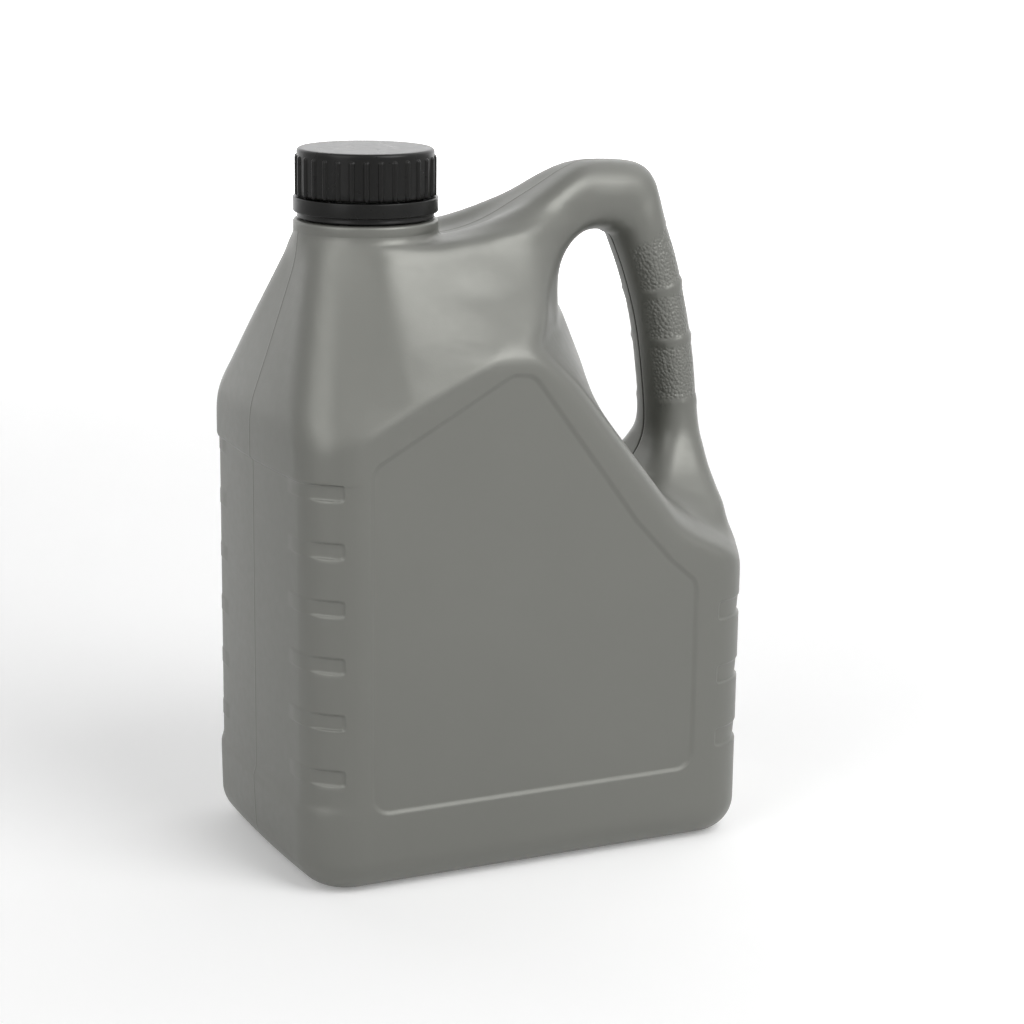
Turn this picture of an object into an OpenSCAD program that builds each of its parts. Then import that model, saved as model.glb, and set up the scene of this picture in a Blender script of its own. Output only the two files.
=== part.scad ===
// Hydraulic oil jug: blown five litre body with a hollow grip handle and a ribbed screw cap.
// Millimetres, +Z up, origin under the middle of the base, pouring side at -X, handle at +X.

/* [Body] */
// Length of the body along X
body_length = 205; // [198:0.5:210]
// Width of the body along Y
body_width = 131; // [122:1:140]
// Bow of the pouring side along X
end_bow = 4.4; // [2.4:0.2:5]
// Radius of the upright corners
corner_radius = 21; // [18:0.5:23]
// Radius of the bottom edge
base_radius = 15; // [10:0.5:16]
// Wall thickness
wall = 2.4; // [2.2:0.1:2.8]
// Depth of the push-up under the base
push_up = 2; // [1:0.25:3]
// Depth of the pouring side between its two belts
belt_depth = 1.3; // [0.6:0.1:1.8]
// Top of the lower belt
lower_belt = 37; // [30:1:44]
// Drop from the shoulder to the upper belt
belt_drop = 15.5; // [12:0.5:20]

/* [Shoulder] */
// Height at which the rear side ends
rear_height = 117; // [110:1:122]
// Rise from there to the shoulder, where the pouring side starts to lean
shoulder_rise = 73; // [69:1:77]
// Rise from the shoulder to the peak of the broad face
peak_rise = 34; // [30:1:38]

/* [Handle] */
// Rise from the peak of the broad face to the top of the handle
handle_rise = 67; // [64:0.5:70]
// Half width of the handle across Y
handle_half_width = 16.5; // [14:0.5:18]
// Thickness of the grip
handle_depth = 23.3; // [22:0.1:24.5]
// Reach of the handle past the rear side
handle_reach = 2.2; // [1.6:0.1:3]
// Edge rounding of the handle
handle_edge = 10.5; // [8:0.5:11]
// Depth of the grip fields
grip_depth = 0.6; // [0.3:0.1:0.9]

/* [Neck] */
// Distance of the neck axis from the pouring end
neck_inset = 50; // [46.5:0.5:54]
// Radius of the threaded neck
neck_radius = 24; // [22:0.25:25]
// Wall of the neck
neck_wall = 2.5; // [2:0.1:3]
// Step from the neck out to the collar
collar_step = 6; // [5:0.25:7]
// Drop from the top of the handle to the top of the collar
collar_drop = 20; // [19:0.25:21]
// Height of the neck over the collar
neck_rise = 25.4; // [23:0.1:27]

/* [Label panel] */
// Depth of the label panel
panel_depth = 0.9; // [0.4:0.1:1.2]
// Width of the panel step
panel_step = 2.4; // [1.5:0.1:4]

/* [Corner grooves] */
// Number of grooves on each pouring side corner
front_grooves = 6; // [3:1:6]
// Spacing of the pouring side grooves
front_spacing = 23.9; // [18:0.1:25]
// Number of grooves on each rear corner
rear_grooves = 3; // [1:1:3]
// Spacing of the rear grooves
rear_spacing = 28.5; // [18:0.5:30]
// Height of a pouring side groove
front_height = 6.4; // [3:0.2:8]
// Height of a rear groove
rear_groove = 8; // [3:0.2:10]
// Depth of one groove
groove_depth = 1.3; // [0.6:0.1:1.6]

/* [Cap] */
// Room for the thread between the neck and the cap
thread_gap = 2.2; // [1.8:0.1:2.6]
// Thickness of the cap wall
cap_wall = 2.2; // [1.6:0.1:2.6]
// Number of grip ribs
cap_ribs = 30; // [20:1:40]
// Rise of a rib over the wall
rib_rise = 0.9; // [0.4:0.1:1.4]
// Thickness of the sealing wad
liner_thickness = 1.3; // [0.8:0.1:1.6]
// Clearance round the sealing wad
liner_clearance = 0.6; // [0.2:0.1:1]
// Clearance over and under the sealing wad
seat_gap = 0.1; // [0.05:0.05:0.2]
// Gap between the cap and the tamper band
bridge_gap = 0.5; // [0.3:0.1:0.9]

/* [Tamper band] */
// Step from the cap wall out to the band
band_step = 1.6; // [1.2:0.1:2.4]
// Height of the band over the collar
band_lift = 3; // [2.5:0.1:4]
// Height of the band
band_height = 6.2; // [5:0.1:7]
// Radial clearance between the band and the neck
band_clearance = 0.4; // [0.2:0.1:0.8]
// Gap between the foot of the band and the collar
foot_gap = 0.7; // [0.3:0.1:1]

/* [Hidden] */
$fn = 60;
half_length = body_length / 2;
half_width = body_width / 2;
shoulder_height = rear_height + shoulder_rise;
upper_belt = shoulder_height - belt_drop;
peak_height = shoulder_height + peak_rise;
handle_height = peak_height + handle_rise;
web_height = handle_height - 29;
collar_height = handle_height - collar_drop;
collar_radius = neck_radius + collar_step;
neck_foot = collar_height - 6;
neck_x = neck_inset - half_length;
neck_height = collar_height + neck_rise;
mouth_radius = neck_radius - neck_wall;
cap_radius = neck_radius + thread_gap + cap_wall;
cap_top = neck_height + seat_gap + liner_thickness + cap_wall;
band_radius = cap_radius + band_step;
band_bottom = collar_height + band_lift;
band_top = band_bottom + band_height;

// Height tables of the horizontal sections: pouring end, neck flank, broad face ends and rear end.
corner_x = half_length - corner_radius;
corner_y = half_width - corner_radius;
pour_top = neck_x - collar_radius + 2;
pour_face = end_bow - half_length - handle_reach;
pour_corner = pour_face + corner_radius;
function crest(t) = peak_height + t * (web_height - peak_height);
function pour_x(z) = lookup(z, [
    [shoulder_height, pour_face],
    [shoulder_height + 6, pour_face + 0.6],
    [shoulder_height + 12, pour_face + 2.2],
    [shoulder_height + 18, pour_face + 4.6],
    [neck_foot, pour_top]]);
function pour_half(z) = lookup(z, [
    [shoulder_height - 3, half_width],
    [shoulder_height + 3, half_width - 2],
    [shoulder_height + 10, half_width - 6],
    [neck_foot, 24]]);
function flank_half(z) = lookup(z, [
    [shoulder_height + 16, half_width],
    [neck_foot, collar_radius + 0.5]]);
function face_left(z) = lookup(z, [
    [shoulder_height - 3, pour_corner],
    [shoulder_height + 2, pour_corner + 1],
    [peak_height, -14]]);
function face_right(z) = lookup(z, [
    [rear_height, corner_x],
    [rear_height + 8, corner_x],
    [rear_height + 14, corner_x - 4],
    [rear_height + 19, corner_x - 16],
    [rear_height + 26, corner_x - 26],
    [peak_height - 16, 4],
    [peak_height, -12],
    [crest(0.42), 2],
    [web_height, 5]]);
function face_half(z) = lookup(z, [
    [peak_height - 3, half_width],
    [peak_height + 1, half_width - 3],
    [crest(0.21), half_width - 14],
    [crest(0.42), half_width - 24],
    [crest(0.68), half_width - 33],
    [web_height, handle_half_width + 8]]);
function rear_x(z) = lookup(z, [
    [rear_height, half_length],
    [rear_height + 37, half_length + 1.5],
    [rear_height + 41, 66],
    [rear_height + 46, 55.5],
    [peak_height - 42, 49],
    [peak_height - 22, 46],
    [peak_height - 4, 39.5],
    [crest(0.21), 34.5],
    [crest(0.42), 28.5],
    [crest(0.68), 27],
    [crest(0.9), 32],
    [web_height, 38]]);
function rear_half(z) = lookup(z, [
    [rear_height, half_width],
    [rear_height + 7, half_width - 1.5],
    [rear_height + 14, half_width - 5],
    [rear_height + 21, half_width - 11],
    [rear_height + 28, half_width - 19],
    [rear_height + 35, half_width - 27],
    [rear_height + 44, 28],
    [peak_height - 20, 24],
    [crest(0.21), 19],
    [web_height, handle_half_width + 1]]);
function edge_radius(z) = lookup(z, [
    [shoulder_height, corner_radius],
    [neck_foot, 19]]);
function face_edge(z) = lookup(z, [
    [rear_height + 6, corner_radius],
    [rear_height + 26, 15.5]]);
function base_inset(z) = z >= base_radius ? 0 :
    base_radius - sqrt(base_radius * base_radius - (base_radius - z) * (base_radius - z));
function belt_inset(z) = lookup(z, [
    [lower_belt, 0],
    [lower_belt + 1.5, belt_depth],
    [upper_belt - 1.5, belt_depth],
    [upper_belt, 0]]);

// The circles on the +Y side whose common outline is the section at height z, the rear end cut back.
function circles(z, back) =
    let (r = edge_radius(z), b = belt_inset(z), w = face_half(z))
    let (f = min(face_edge(z), w - 1), q = min(r, rear_half(z) - 1))
    [[pour_x(z) + b + r, pour_half(z) - r, r],
    [min(neck_x, max(b + pour_corner, face_left(z))), flank_half(z) - r, r],
    [min(face_right(z), face_left(z) + b), w - f, f],
    [face_right(z), w - f, f],
    [rear_x(z) - q - back, rear_half(z) - q, q]];
function touch(c, t, thin) =
    let (reach = [for (k = c) k[0] * cos(t) + k[1] * sin(t) + k[2]])
    let (k = c[search(max(reach), reach)[0]])
    [k[0] + (k[2] - thin) * cos(t), k[1] + (k[2] - thin) * sin(t)];

// Half outline from -X to the broad face and on to +X, its points spread over length and turn together.
function full_outline(c, thin) =
    let (turn = concat([for (k = [180 : -3 : 93]) k], [90.3, 89.7], [for (k = [87 : -3 : 0]) k]))
    let (p = [for (t = turn) touch(c, t, thin)])
    concat([[p[0][0], 0]], p, [[p[len(p) - 1][0], 0]]);
function flat_point(p, x, flat) = let (y = lookup(x, p)) [x, flat - y < 0.01 ? flat : y];
function half_outline(z, thin, back, n) =
    let (c = circles(z, back), p = full_outline(c, thin), m = floor(n / 2), a = c[2][0], b = c[3][0])
    let (flat = max([for (k = c) k[1] + k[2]]) - thin)
    concat(
        spread(concat([for (q = p) if (q[0] < a - 0.2) q], [flat_point(p, a, flat)]), m),
        spread(concat([flat_point(p, b, flat)], [for (q = p) if (q[0] > b + 0.2) q]), n - 1 - m));
function swell(z) = lookup(z, [
    [0, end_bow * 0.6],
    [lower_belt, end_bow],
    [shoulder_height + 20, end_bow],
    [neck_foot, 0]]) / half_length;
function bowed(p, z) = [p[0] + min(p[0], 0) * swell(z) * (1 - pow(p[1] / half_width, 2)), p[1]];
function run(p) =
    [for (i = 0, s = 0; i < len(p); i = i + 1, s = s + (i < len(p) ? norm(p[i] - p[i - 1]) : 0)) s];
function spread(p, n) =
    let (s = run(p), m = len(p) - 1)
    let (u = [for (i = [0 : m]) 0.5 * s[i] / s[m] + 0.5 * i / m])
    let (tx = [for (i = [0 : m]) [u[i], p[i][0]]], ty = [for (i = [0 : m]) [u[i], p[i][1]]])
    [for (j = [0 : n]) [lookup(j / n, tx), lookup(j / n, ty)]];
function section(z, thin, n, at_z, back = 0) =
    let (p = [for (q = half_outline(z, thin, back, n)) bowed(q, z)])
    concat([for (j = [n : -1 : 0]) [p[j][0], p[j][1], at_z]],
        [for (j = [1 : n - 1]) [p[j][0], -p[j][1], at_z]]);

// Handle stations: inner point, outer point and half width, from the rear root round to the neck.
outer_x = half_length + handle_reach;
inner_x = outer_x - handle_depth;
wide = handle_half_width;
top = handle_height;
handle_stations = [
    [inner_x - 0.8, rear_height + 33, outer_x - 0.8, rear_height + 33, wide + 8.5],
    [inner_x, rear_height + 46, outer_x, rear_height + 46, wide + 3.5],
    [inner_x - 0.9, rear_height + 60, outer_x - 0.9, rear_height + 60, wide],
    [inner_x - 3.4, top - 89, outer_x - 3.6, top - 87.5, wide],
    [inner_x - 6.9, top - 69, outer_x - 7.9, top - 64.5, wide],
    [inner_x - 12.2, top - 51, outer_x - 13.2, top - 43, wide],
    [inner_x - 17.2, top - 38.2, outer_x - 19.6, top - 25, wide],
    [inner_x - 19.8, top - 33, outer_x - 22.8, top - 14, wide - 0.3],
    [inner_x - 22.8, top - 31.3, outer_x - 25.2, top - 7.2, wide - 1],
    [inner_x - 25.4, top - 30, outer_x - 30.6, top - 2.2, wide - 1],
    [inner_x - 29.8, top - 29.5, outer_x - 42, top - 0.1, wide - 0.5],
    [44.5, top - 30.6, 47, top, wide],
    [36, top - 34.8, 37, top - 3.4, wide + 1.5],
    [28.5, top - 43, 24, top - 10.6, wide + 4.5],
    [24.5, top - 55, 8, top - 19.2, wide + 7.5],
    [20, top - 66, -10, top - 28.8, wide + 10],
    [10, top - 76, -24, top - 36, wide + 13]];
last_station = len(handle_stations) - 1;
function blend(a, b, c, e, f) =
    b + 0.5 * f * (c - a + f * (2 * a - 5 * b + 4 * c - e + f * (3 * (b - c) + e - a)));
function station(s) =
    let (i = min(floor(s), last_station - 1))
    blend(handle_stations[max(i - 1, 0)], handle_stations[i], handle_stations[i + 1],
        handle_stations[min(i + 2, last_station)], s - i);
grip_starts = [2.55, 3.6, 4.7];
grip_run = 0.85;
function grip_inset(s) =
    max([for (g = grip_starts) s > g + 0.01 && s < g + grip_run - 0.01 ? grip_depth : 0]);
function handle_ring(s, thin, n) =
    let (k = station(s), a = [k[0], k[1]], b = [k[2], k[3]])
    let (mid = (a + b) / 2, reach = norm(b - a) / 2, way = (b - a) / (2 * reach))
    [for (i = [0 : n - 1])
        let (t = (i + 0.5) * 360 / n)
        let (u = sign(cos(t)) * (reach - handle_edge) + (handle_edge - thin) * cos(t))
        let (v = sign(sin(t)) * (k[4] - handle_edge) + (handle_edge - thin) * sin(t))
        [mid[0] + u * way[0], v, mid[1] + u * way[1]]];

// Closed skin over a stack of outlines that all have the same number of points.
module skin(rings) {
    n = len(rings[0]);
    last = len(rings) - 1;
    points = [for (ring = rings) each ring];
    sides = [for (j = [0 : last - 1], i = [0 : n - 1])
        let (k = (i + 1) % n)
        each [[j * n + i, (j + 1) * n + i, j * n + k], [j * n + k, (j + 1) * n + i, (j + 1) * n + k]]];
    floor_face = [for (i = [0 : n - 1]) i];
    roof_face = [for (i = [0 : n - 1]) last * n + n - 1 - i];
    polyhedron(points, concat([floor_face], [roof_face], sides), 4);
}

body_levels = concat(
    [for (i = [0 : 5]) base_radius * (1 - cos(i * 18))],
    [lower_belt, lower_belt + 1.5, rear_height],
    [for (i = [1 : 5]) rear_height + i * 7],
    [rear_height + 37, rear_height + 41, rear_height + 46, upper_belt - 1.5, upper_belt],
    [for (i = [0 : 9]) shoulder_height - 3 + i * 3],
    [for (i = [1 : 10]) shoulder_height + 24 + i * (web_height - shoulder_height - 24) / 10]);
inner_levels = concat(
    [for (i = [0 : 3]) base_radius * (1 - cos(i * 30))],
    [lower_belt, lower_belt + 1.5, rear_height],
    [for (i = [1 : 3]) rear_height + i * 10],
    [rear_height + 38, upper_belt - 1.5, upper_belt],
    [for (i = [0 : 3]) shoulder_height - 3 + i * 8],
    [for (i = [1 : 4]) shoulder_height + 24 + i * (web_height - shoulder_height - 24) / 4]);
floor_height = wall + push_up;

module body_form() {
    skin([for (z = body_levels) section(z, base_inset(z), 25, z)]);
}

// Inside of the body: thinned outlines, raised at the floor and lowered under the shoulder.
module body_cavity() {
    skin([for (z = inner_levels)
        let (lift = z < base_radius ? floor_height * (1 - z / base_radius) : 0)
        let (drop = z <= rear_height ? 0 : abs(z - upper_belt) < 2 ? -1 : wall)
        let (back = lookup(z, [[rear_height + 20, 0], [rear_height + 38, 42], [upper_belt, 8]]))
        section(z, wall + base_inset(z) + 0.3 * abs(drop), 18, z + lift - drop, back)]);
}

module handle_form() {
    run_steps = concat(
        [for (g = grip_starts, e = [0, 0.02, grip_run / 2, grip_run - 0.02, grip_run]) g + e],
        [0, 0.5, 1, 1.5, 2],
        [for (s = [5.8 : 0.5 : last_station - 0.2]) s],
        [last_station]);
    ordered = [for (s = sort_up(run_steps)) s];
    skin([for (s = ordered) handle_ring(s, grip_inset(s), 22)]);
}

function sort_up(v) = len(v) < 2 ? v :
    let (p = v[floor(len(v) / 2)])
    concat(sort_up([for (x = v) if (x < p) x]), [p], sort_up([for (x = v) if (x > p) x]));

// Inside of the handle, open into the body at both ends.
module handle_cavity() {
    thin = wall + grip_depth / 2;
    sunk = [for (p = handle_ring(0, thin + 1, 14)) p - [0, 0, 22]];
    skin(concat([sunk], [for (s = [0 : last_station]) handle_ring(s, thin, 14)]));
}

// Neck on its own axis: collar, retaining bead and rim.
bead_bottom = band_bottom + 1.6;
bead_rise = 1.4;
module neck_form() {
    translate([neck_x, 0, 0])
    rotate_extrude($fn = 48)
    polygon([
        [0, web_height - 4],
        [collar_radius, web_height - 4],
        [collar_radius, collar_height - 1.2],
        [collar_radius - 0.4, collar_height - 0.4],
        [collar_radius - 1.2, collar_height],
        [neck_radius, collar_height],
        [neck_radius, bead_bottom],
        [neck_radius + bead_rise, bead_bottom],
        [neck_radius, bead_bottom + 3],
        [neck_radius, neck_height - 0.8],
        [neck_radius - 0.8, neck_height],
        [0, neck_height]]);
}
module neck_bore() {
    translate([neck_x, 0, 0])
    rotate_extrude($fn = 36)
    polygon([
        [0, web_height - 12],
        [collar_radius - wall - 1, web_height - 12],
        [collar_radius - wall - 1, collar_height - wall - 1],
        [mouth_radius, collar_height + 1.5],
        [mouth_radius, neck_height + 1],
        [0, neck_height + 1]]);
}

// Bare label panel on a broad face, seen as an outline in X and Z.
module panel_outline(inset) {
    offset(r = 9 - inset, $fn = 32)
    offset(delta = -9)
    polygon([
        [pour_corner + belt_depth + 1.6, lower_belt - 3.5],
        [half_length - 28.5, lower_belt - 3.5],
        [half_length - 28.5, rear_height + 1.6],
        [half_length - 42, rear_height + 13.4],
        [half_length - 58.5, rear_height + 31.6],
        [-4.5, peak_height - 10.2],
        [-15, peak_height - 8.8],
        [pour_corner + belt_depth + 1.6, shoulder_height - 9]]);
}
module panel_cut() {
    for (side = [-1, 1]) {
        translate([0, side * (half_width - panel_depth / 2) + (side > 0 ? 5 : 0), 0])
        rotate([90, 0, 0])
        linear_extrude(height = 5)
        panel_outline(0);
        translate([0, side * (half_width - panel_depth) + (side > 0 ? 5 : 0), 0])
        rotate([90, 0, 0])
        linear_extrude(height = 5)
        panel_outline(panel_step);
    }
}

// Groove with flared sides, wrapped round an upright corner to an even depth.
function groove_levels(z, height) =
    let (low = z - height / 2 - 3, high = z + height / 2 + 3)
    [for (k = [low, lower_belt, lower_belt + 1.5, upper_belt - 1.5, upper_belt, high])
        if (k >= low && k <= high) k];
module corner_groove(x, y, z, height, from, turn) {
    difference() {
        translate([x, y, z])
        rotate([0, 0, from])
        rotate_extrude(angle = turn, $fn = 28)
        hull() {
            translate([corner_radius - groove_depth - 2, -height / 2 + 0.6])
            square([2, height - 1.2]);
            translate([corner_radius + 4, -height / 2 - 0.8])
            square([1, height + 1.6]);
        }
        skin([for (level = groove_levels(z, height)) section(level, groove_depth, 25, level)]);
    }
}
module grooves() {
    for (side = [-1, 1]) {
        for (i = [0 : front_grooves - 1])
            corner_groove(pour_corner + belt_depth, side * corner_y, upper_belt - 3.7 - i * front_spacing,
                front_height, side > 0 ? 117.4 : 198, 44.6);
        for (i = [0 : rear_grooves - 1])
            corner_groove(corner_x, side * corner_y, lower_belt + 9.8 + i * rear_spacing,
                rear_groove, side > 0 ? 4 : 276, 80);
    }
}

// Push-up under the base, inside the foot.
module base_hollow() {
    foot = base_radius + 6;
    hull() {
        for (x = [-1, 1], y = [-1, 1]) {
            translate([x * (half_length - foot - 8), y * (half_width - foot - 8), -1])
            cylinder(h = 1, r = 10, $fn = 24);
            translate([x * (half_length - foot - 12), y * (half_width - foot - 12), push_up - 1])
            cylinder(h = 1, r = 10, $fn = 24);
        }
    }
}

module jug_body() {
    color([0.47, 0.47, 0.45])
    difference() {
        union() {
            body_form();
            handle_form();
            neck_form();
        }
        body_cavity();
        handle_cavity();
        neck_bore();
        panel_cut();
        grooves();
        base_hollow();
    }
}

// Ring left on the neck under the bead, with the stubs of its broken bridges.
module tamper_band() {
    inner = neck_radius + band_clearance;
    over_bead = neck_radius + bead_rise + band_clearance;
    color([0.08, 0.08, 0.08])
    translate([neck_x, 0, 0]) {
        rotate_extrude()
        polygon([
            [inner, collar_height + foot_gap],
            [band_radius - 1.5, collar_height + foot_gap],
            [band_radius - 1.5, band_bottom - 0.4],
            [band_radius - 0.6, band_bottom],
            [band_radius, band_bottom + 0.8],
            [band_radius, band_top - 0.3],
            [band_radius - 0.3, band_top],
            [over_bead, band_top],
            [over_bead, bead_bottom - 0.4],
            [inner, bead_bottom - 0.9]]);
        for (i = [0 : 11])
            rotate([0, 0, i * 30 + 6])
            translate([cap_radius - 1.2, -0.5, band_top - 0.5])
            cube([1, 1, 0.5 + bridge_gap / 2]);
    }
}

module cap_liner() {
    color([0.85, 0.85, 0.82])
    translate([neck_x, 0, neck_height + seat_gap])
    cylinder(h = liner_thickness, r = cap_radius - cap_wall - liner_clearance);
}

module cap() {
    cap_bottom = band_top + bridge_gap;
    color([0.08, 0.08, 0.08])
    translate([neck_x, 0, 0]) {
        rotate_extrude()
        polygon([
            [0, cap_top - cap_wall + 0.02],
            [neck_radius + thread_gap, cap_top - cap_wall + 0.02],
            [neck_radius + thread_gap, cap_bottom],
            [cap_radius, cap_bottom],
            [cap_radius, cap_top - 1.2],
            [cap_radius - 0.3, cap_top - 0.4],
            [cap_radius - 1, cap_top],
            [0, cap_top]]);
        for (i = [0 : cap_ribs - 1])
            rotate([0, 0, i * 360 / cap_ribs])
            translate([cap_radius - 0.4, 0, cap_bottom]) {
                cylinder(h = cap_top - 3.6 - cap_bottom, r = 0.4 + rib_rise, $fn = 16);
                translate([0, 0, cap_top - 3.6 - cap_bottom])
                cylinder(h = 0.9, r1 = 0.4 + rib_rise, r2 = 0.5, $fn = 16);
            }
    }
}

jug_body();
tamper_band();
cap_liner();
cap();
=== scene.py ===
import math

import bpy
import numpy as np
from mathutils import Matrix, Vector
from mathutils.geometry import delaunay_2d_cdt


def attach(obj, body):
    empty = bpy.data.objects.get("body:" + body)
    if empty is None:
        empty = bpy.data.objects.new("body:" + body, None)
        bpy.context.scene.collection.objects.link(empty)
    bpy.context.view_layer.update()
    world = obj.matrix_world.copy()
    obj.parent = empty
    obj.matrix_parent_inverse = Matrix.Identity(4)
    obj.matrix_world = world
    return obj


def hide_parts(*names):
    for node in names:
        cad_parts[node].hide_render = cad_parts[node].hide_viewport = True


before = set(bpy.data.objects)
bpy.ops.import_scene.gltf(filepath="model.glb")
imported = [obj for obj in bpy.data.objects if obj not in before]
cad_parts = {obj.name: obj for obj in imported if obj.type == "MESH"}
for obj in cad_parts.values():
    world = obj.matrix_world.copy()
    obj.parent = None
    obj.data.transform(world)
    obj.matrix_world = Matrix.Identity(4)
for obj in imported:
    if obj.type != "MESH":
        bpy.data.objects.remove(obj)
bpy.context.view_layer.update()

# Sizes in millimetres; the main ones are those of the part's source.
HALF_L, HALF_W, CORNER, BASE_R = 102.5, 65.5, 21.0, 15.0
END_BOW, BELT_DEPTH, LOWER_BELT, REACH = 4.4, 1.3, 37.0, 2.2
REAR, SHOULDER, PEAK, TOP = 117.0, 190.0, 224.0, 291.0
UPPER_BELT = SHOULDER - 15.5
WEB, COLLAR_Z = TOP - 29.0, TOP - 20.0
NECK_FOOT, NECK_X, NECK_R, COLLAR_R = COLLAR_Z - 6.0, 50.0 - HALF_L, 24.0, 30.0
NECK_Z = COLLAR_Z + 25.4
CORNER_X, CORNER_Y = HALF_L - CORNER, HALF_W - CORNER
POUR_FACE = END_BOW - HALF_L - REACH + 0.15
POUR_CORNER = POUR_FACE + CORNER
WIDE, DEEP, EDGE = 16.5, 23.3, 10.5
WALL, COLLAR_ROUND = 2.4, 1.2
PANEL_DEPTH, PANEL_STEP = 0.9, 2.6
GROOVE_D, TONGUE_RISE = 1.0, 0.28
GRIP_D, RING_RISE = 0.3, 0.36


def smooth(a, b, x):
    """Zero at a and one at b, with a soft run between."""
    t = np.clip((x - a) / (b - a), 0.0, 1.0)
    return t * t * (3.0 - 2.0 * t)


def crest(t):
    """Height at a share of the way from the peak of the broad faces to the web under the ridge."""
    return PEAK + t * (WEB - PEAK)


def table(z, rows):
    """Value at a height, from rows of height and value."""
    rows = np.array(rows, float)
    return np.interp(z, rows[:, 0], rows[:, 1])


def circles(z):
    """Circles whose hull is the half section at a height: pouring corner, flank, face and rear corner."""
    r = table(z, [[SHOULDER, CORNER], [NECK_FOOT, 19]])
    pour_x = table(z, [[SHOULDER, POUR_FACE], [SHOULDER + 6, POUR_FACE + 0.6],
                       [SHOULDER + 12, POUR_FACE + 2.2], [SHOULDER + 18, POUR_FACE + 4.6],
                       [NECK_FOOT, NECK_X - COLLAR_R + 2]])
    pour_half = table(z, [[SHOULDER - 3, HALF_W], [SHOULDER + 3, HALF_W - 2], [SHOULDER + 10, HALF_W - 6],
                          [NECK_FOOT, 24]])
    flank_half = table(z, [[SHOULDER + 16, HALF_W], [NECK_FOOT, COLLAR_R + 0.5]])
    face_left = table(z, [[SHOULDER - 3, POUR_CORNER], [SHOULDER + 2, POUR_CORNER + 1], [PEAK, -14]])
    face_right = table(z, [[REAR, CORNER_X], [REAR + 8, CORNER_X], [REAR + 14, CORNER_X - 4],
                           [REAR + 19, CORNER_X - 16], [REAR + 26, CORNER_X - 26], [PEAK - 16, 4],
                           [PEAK, -12], [crest(0.21), -5], [crest(0.42), 0], [crest(0.68), 3.5], [WEB, 5]])
    face_half = table(z, [[PEAK - 3, HALF_W], [PEAK + 1, HALF_W - 3], [crest(0.21), HALF_W - 9.5],
                          [crest(0.42), HALF_W - 17.5], [crest(0.68), HALF_W - 27.5], [WEB, WIDE + 8]])
    rear_x = table(z, [[REAR, HALF_L], [REAR + 16, HALF_L + 1.5], [REAR + 25, 92], [REAR + 32, 76],
                       [REAR + 38, 66], [REAR + 46, 55.5], [PEAK - 42, 49], [PEAK - 22, 46], [PEAK - 4, 39.5],
                       [crest(0.21), 34.5], [crest(0.42), 28.5], [crest(0.68), 27], [crest(0.9), 32],
                       [WEB, 38]])
    rear_half = table(z, [[REAR, HALF_W], [REAR + 7, HALF_W - 3], [REAR + 14, HALF_W - 8],
                          [REAR + 21, HALF_W - 16.5], [REAR + 28, HALF_W - 25.5], [REAR + 33, 33],
                          [REAR + 37, 27], [REAR + 41, 24.5], [PEAK - 20, 24], [crest(0.21), 19],
                          [WEB, WIDE + 1]])
    f = np.minimum(table(z, [[REAR + 6, CORNER], [REAR + 26, 15.5]]), face_half - 1)
    q = np.minimum(r, rear_half - 1)
    flank_x = np.minimum(NECK_X, np.maximum(POUR_CORNER, face_left))
    return [(pour_x + r, pour_half - r, r), (flank_x, flank_half - r, r),
            (np.minimum(face_right, face_left), face_half - f, f), (face_right, face_half - f, f),
            (rear_x - q, rear_half - q, q)]


# Reach of the horizontal sections over height and direction, smoothed over height so that the shoulder flows.
STEP_Z, CRISP, FLOWING = 0.5, 3.0, 7.0
LEVELS = np.arange(-8.0, 306.0, STEP_Z)
TURN = np.radians(np.arange(0.0, 180.01, 2.0))
COS, SIN = np.cos(TURN), np.sin(TURN)


def over_height(rows, spread):
    """Rows of the reach table averaged over height with a bell of the given spread in millimetres."""
    span = int(3 * spread / STEP_Z)
    bell = np.exp(-0.5 * (np.arange(-span, span + 1) * STEP_Z / spread) ** 2)
    padded = np.concatenate([np.repeat(rows[:1], span, 0), rows, np.repeat(rows[-1:], span, 0)])
    return sum(k * padded[i:i + len(rows)] for i, k in enumerate(bell / bell.sum()))


def reach_table():
    """Reach of the sections' hull in each direction and height, less the recess between the belts."""
    best = None
    for cx, cy, r in circles(LEVELS):
        h = cx[:, None] * COS[None] + cy[:, None] * SIN[None] + r[:, None]
        best = h if best is None else np.maximum(best, h)
    flow = smooth(PEAK, PEAK + 14, LEVELS)[:, None]
    best = over_height(best, CRISP) * (1 - flow) + over_height(best, FLOWING) * flow
    belt = BELT_DEPTH * smooth(LOWER_BELT - 2.5, LOWER_BELT + 3.0, LEVELS)
    belt *= 1.0 - smooth(UPPER_BELT - 1.7, UPPER_BELT + 0.3, LEVELS)
    return best - belt[:, None] * np.maximum(0.0, -COS)[None]


REACHES = reach_table()
LEANS = np.gradient(REACHES, STEP_Z, axis=0)


def base_inset(z):
    """How far the round edge of the base draws the wall in."""
    t = np.clip(BASE_R - z, 0.0, BASE_R)
    return BASE_R - np.sqrt(np.maximum(BASE_R ** 2 - t ** 2, 0.0))


def unbow(x, y, z):
    """Takes the bow out of the pouring side, so that its sections are told as if straight."""
    bow = table(z, [[0, END_BOW * 0.6], [LOWER_BELT, END_BOW], [SHOULDER + 20, END_BOW], [NECK_FOOT, 0.0]])
    across = 1.0 - np.minimum((y / HALF_W) ** 2, 1.0)
    return np.where(x < 0, x / (1.0 + bow / HALF_L * across), x)


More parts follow.
